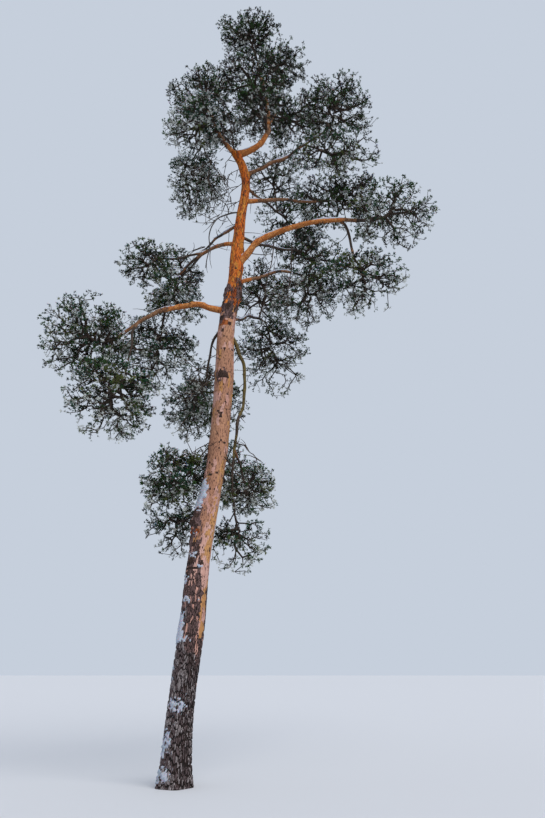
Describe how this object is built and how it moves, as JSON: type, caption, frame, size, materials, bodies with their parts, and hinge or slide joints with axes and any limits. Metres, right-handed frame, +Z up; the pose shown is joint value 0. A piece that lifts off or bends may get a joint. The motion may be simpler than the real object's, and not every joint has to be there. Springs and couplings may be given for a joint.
{
  "type": "scots pine tree",
  "caption": "Standing Scots pine with a tall leaning trunk, a fork near the top, crooked boughs and separate needle masses, lightly snowed.",
  "frame": {"origin": "The middle of the flat cut under the trunk, at ground level.", "axes": "+Z is up, +X is to the right as pictured, and +Y is away from the side that was pictured."},
  "size_m": [7.7176, 4.9273, 16.9816],
  "materials": {
    "trunk_bark": "rough",
    "bough_bark": "rough",
    "dead_wood": "rough",
    "needles": "matte"
  },
  "bodies": {
    "root": {"trunk": "trunk_bark", "bough_leader": "bough_bark", "bough_left_top": "bough_bark", "bough_left_hanging": "bough_bark", "bough_front_top": "bough_bark", "bough_back_top": "bough_bark", "bough_right_top": "bough_bark", "bough_right_middle": "bough_bark", "bough_back_right": "bough_bark", "bough_right_big": "bough_bark", "bough_right_low": "bough_bark", "bough_right_inner": "bough_bark", "bough_right_arm": "bough_bark", "bough_back_low": "bough_bark", "bough_back_left": "bough_bark", "bough_back_middle": "bough_bark", "bough_left_upper": "bough_bark", "bough_left_reach": "bough_bark", "dead_branch": "dead_wood", "bough_left_main": "bough_bark", "bough_left_low": "bough_bark", "bough_left_inner": "bough_bark", "bough_left_middle": "bough_bark", "bough_low_left": "bough_bark", "bough_hanging": "bough_bark", "bough_low_right": "bough_bark", "foliage_tip": "needles", "foliage_tip_right": "needles", "foliage_upper_front": "needles", "foliage_upper_left": "needles", "foliage_left_outer": "needles", "foliage_left_hanging": "needles", "foliage_upper_middle": "needles", "foliage_fork": "needles", "foliage_upper_back": "needles", "foliage_right_top": "needles", "foliage_right_crest": "needles", "foliage_right_middle": "needles", "foliage_right_outer": "needles", "foliage_right_low": "needles", "foliage_right_inner": "needles", "foliage_right_arm": "needles", "foliage_back_upper": "needles", "foliage_back_centre": "needles", "foliage_low_back": "needles", "foliage_back_low": "needles", "foliage_back_right": "needles", "foliage_back_left": "needles", "foliage_back_middle": "needles", "foliage_left_reach": "needles", "foliage_left_upper": "needles", "foliage_left_main": "needles", "foliage_left_low": "needles", "foliage_left_inner": "needles", "foliage_left_middle": "needles", "foliage_low_left": "needles", "foliage_low_left_end": "needles", "foliage_low_right": "needles", "foliage_low_right_end": "needles"}
  },
  "joints": []
}
